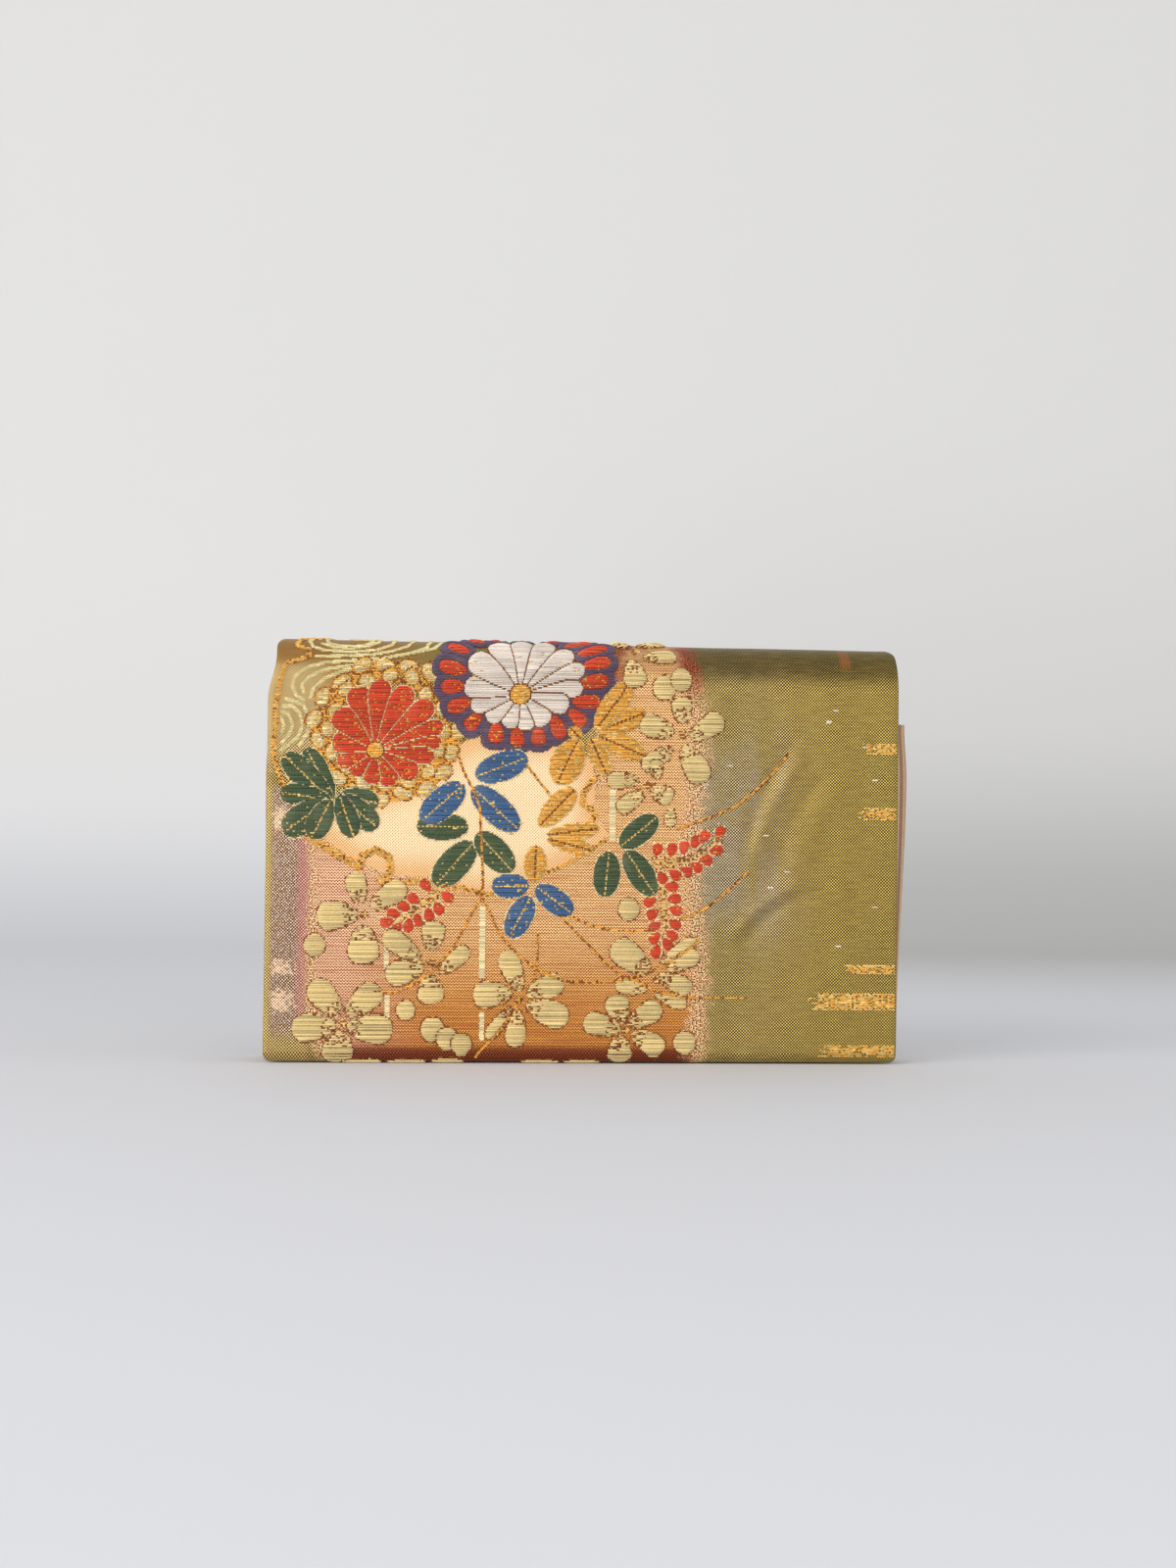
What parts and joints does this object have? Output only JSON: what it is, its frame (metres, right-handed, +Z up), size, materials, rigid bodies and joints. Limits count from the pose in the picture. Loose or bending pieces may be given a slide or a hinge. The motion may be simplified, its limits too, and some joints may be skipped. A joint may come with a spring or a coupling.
{
  "type": "clutch bag",
  "caption": "Flat brocade clutch bag with a stiffened flap over its whole front, a rolled top fold, side gussets, a hidden snap and raised woven flowers.",
  "frame": {"origin": "middle of the footprint on the table, with the bag standing on its flat base", "axes": "-Y towards the flap's face, +X along the bag's width to the right of the face, +Z up"},
  "size_m": [0.2228, 0.029, 0.1464],
  "materials": {
    "brocade": "woven gold and brown brocade with a soft sheen",
    "board": "grey-brown pasteboard",
    "satin": "deep red satin lining",
    "gusset_cloth": "pinkish-brown striped cloth",
    "brass": "polished",
    "cream_thread": "silk floats",
    "copper_thread": "silk floats with copper lustre",
    "plum_thread": "silk floats",
    "gold_thread": "gilt paper thread",
    "pale_gold_thread": "gilt paper thread",
    "water_thread": "silk floats",
    "red_thread": "silk floats",
    "white_thread": "silk floats",
    "blue_thread": "silk floats",
    "green_thread": "silk floats",
    "straw_thread": "thick silk floats with ragged edges"
  },
  "bodies": {
    "bag": {"body_cover": "brocade", "front_board": "board", "back_board": "board", "base_board": "board", "body_lining": "satin", "left_gusset": "gusset_cloth", "right_gusset": "gusset_cloth", "slip_pocket": "satin", "snap_socket": "brass", "snap_socket_washer": "brass", "drops_over_fold": "red_thread", "rim_over_fold": "plum_thread"},
    "flap": {"flap_cover": "brocade", "flap_board": "board", "flap_lining": "satin", "snap_stud": "brass", "snap_stud_washer": "brass", "cream_field": "cream_thread", "copper_field": "copper_thread", "plum_field": "plum_thread", "edge_bars_left": "pale_gold_thread", "edge_bars_right": "pale_gold_thread", "water_swirl_upper": "water_thread", "water_swirl_lower": "water_thread", "white_mum_heart": "gold_thread", "white_mum_petals": "white_thread", "white_mum_drops": "red_thread", "white_mum_rim": "plum_thread", "red_mum_heart": "gold_thread", "red_mum_petals": "red_thread", "red_mum_ring": "gold_thread", "ivy_leaf": "green_thread", "blue_sprig_upper": "blue_thread", "blue_sprig_lower": "blue_thread", "green_sprig_left": "green_thread", "green_sprig_right": "green_thread", "gold_sprig_upper": "gold_thread", "gold_sprig_lower": "gold_thread", "red_spray_left": "red_thread", "red_spray_right": "red_thread", "plum_blossom_1": "straw_thread", "plum_blossom_2": "straw_thread", "plum_blossom_3": "straw_thread", "plum_blossom_4": "straw_thread", "plum_blossom_5": "straw_thread", "plum_blossom_6": "straw_thread", "plum_blossom_7": "straw_thread", "plum_blossom_8": "straw_thread", "plum_blossom_9": "straw_thread", "plum_bud_trio": "straw_thread", "plum_bud_pair": "straw_thread", "plum_bud_1": "straw_thread", "plum_bud_2": "straw_thread", "plum_bud_3": "straw_thread", "gold_stem_upper": "gold_thread", "gold_stem_middle": "gold_thread", "gold_stem_lower": "gold_thread", "gold_stem_middle_left": "gold_thread"}
  },
  "joints": [
    {"name": "flap_hinge", "type": "hinge", "parent": "bag", "child": "flap", "pos_m": [-0.001, 0.00052, 0.146], "axis": [-1, 0, 0], "range_deg": [0, 150]}
  ]
}
